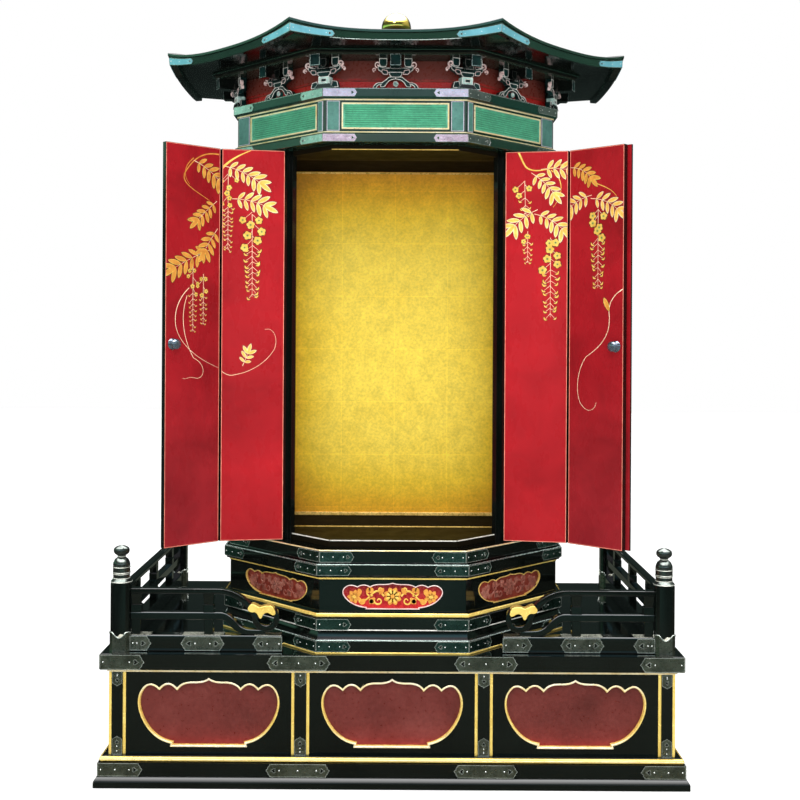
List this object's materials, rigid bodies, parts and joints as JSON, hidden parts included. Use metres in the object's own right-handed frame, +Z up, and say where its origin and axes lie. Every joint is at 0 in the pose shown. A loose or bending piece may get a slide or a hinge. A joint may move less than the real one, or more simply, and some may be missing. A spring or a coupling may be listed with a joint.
{
  "type": "altar shrine",
  "caption": "Black lacquered altar shrine with bifold red doors, gold interior, bracketed eave roof, moulded pedestal and railed base.",
  "frame": {"origin": "on the floor under the middle of the rectangular base", "axes": "+Z up, -Y towards the doors, +X to the right seen from the front"},
  "size_m": [1.04, 0.723, 1.45],
  "materials": {
    "black_lacquer": "gloss black lacquer on wood",
    "red_lacquer": "gloss vermilion lacquer on wood",
    "gold_leaf": "gold leaf on lacquered wood",
    "dark_bronze": "dark patinated engraved bronze",
    "green_paint": "satin green mineral paint on wood"
  },
  "bodies": {
    "root": {"base_plinth": "black_lacquer", "base_gilt_moulding": "gold_leaf", "base_front_board": "black_lacquer", "base_side_board_right": "black_lacquer", "base_side_board_left": "black_lacquer", "base_back_board": "black_lacquer", "base_slab": "black_lacquer", "balustrade_post_front_left": "black_lacquer", "post_cap_front_left": "dark_bronze", "balustrade_post_rear_left": "black_lacquer", "post_cap_rear_left": "dark_bronze", "foot_rail_front_left": "black_lacquer", "middle_rail_front_left": "black_lacquer", "top_rail_front_left": "black_lacquer", "foot_rail_side_left": "black_lacquer", "middle_rail_side_left": "black_lacquer", "top_rail_side_left": "black_lacquer", "balustrade_post_front_right": "black_lacquer", "post_cap_front_right": "dark_bronze", "balustrade_post_rear_right": "black_lacquer", "post_cap_rear_right": "dark_bronze", "foot_rail_front_right": "black_lacquer", "middle_rail_front_right": "black_lacquer", "top_rail_front_right": "black_lacquer", "foot_rail_side_right": "black_lacquer", "middle_rail_side_right": "black_lacquer", "top_rail_side_right": "black_lacquer", "pedestal_foot": "black_lacquer", "pedestal_lower_moulding": "black_lacquer", "pedestal_waist": "black_lacquer", "waist_panel_left": "red_lacquer", "waist_panel_front": "red_lacquer", "waist_panel_right": "red_lacquer", "pedestal_upper_moulding": "black_lacquer", "cabinet_floor_board": "black_lacquer", "cabinet_wall_right": "black_lacquer", "cabinet_wall_left": "black_lacquer", "cabinet_back_wall": "black_lacquer", "gold_back_panel": "gold_leaf", "door_sill": "black_lacquer", "door_lintel": "black_lacquer", "inner_floor_step": "black_lacquer", "inner_ceiling_board": "black_lacquer", "frieze_lower_beam": "black_lacquer", "frieze_wall": "black_lacquer", "louvre_panel_left": "green_paint", "louvre_panel_front": "green_paint", "louvre_panel_right": "green_paint", "frieze_upper_beam": "black_lacquer", "bracket_ground_board": "red_lacquer", "bracket_tier": "black_lacquer", "roof": "black_lacquer", "roof_finial": "gold_leaf"},
    "left_inner_leaf": {"door_inner_leaf_left": "red_lacquer"},
    "left_outer_leaf": {"door_outer_leaf_left": "red_lacquer", "door_knob_left": "dark_bronze"},
    "right_inner_leaf": {"door_inner_leaf_right": "red_lacquer"},
    "right_outer_leaf": {"door_outer_leaf_right": "red_lacquer", "door_knob_right": "dark_bronze"}
  },
  "joints": [
    {"name": "left_jamb_hinge", "type": "hinge", "parent": "root", "child": "left_inner_leaf", "pos_m": [-0.20549, -0.17849, 0.77], "axis": [0, 0, 1], "range_deg": [-15, 125.3]},
    {"name": "left_leaf_hinge", "type": "hinge", "parent": "left_inner_leaf", "child": "left_outer_leaf", "pos_m": [-0.32413, -0.19877, 0.77], "axis": [0, 0, 1], "range_deg": [-90, 12.1]},
    {"name": "right_jamb_hinge", "type": "hinge", "parent": "root", "child": "right_inner_leaf", "pos_m": [0.20549, -0.17849, 0.77], "axis": [0, 0, 1], "range_deg": [-125.3, 15]},
    {"name": "right_leaf_hinge", "type": "hinge", "parent": "right_inner_leaf", "child": "right_outer_leaf", "pos_m": [0.32413, -0.19877, 0.77], "axis": [0, 0, 1], "range_deg": [-12.1, 90]}
  ]
}
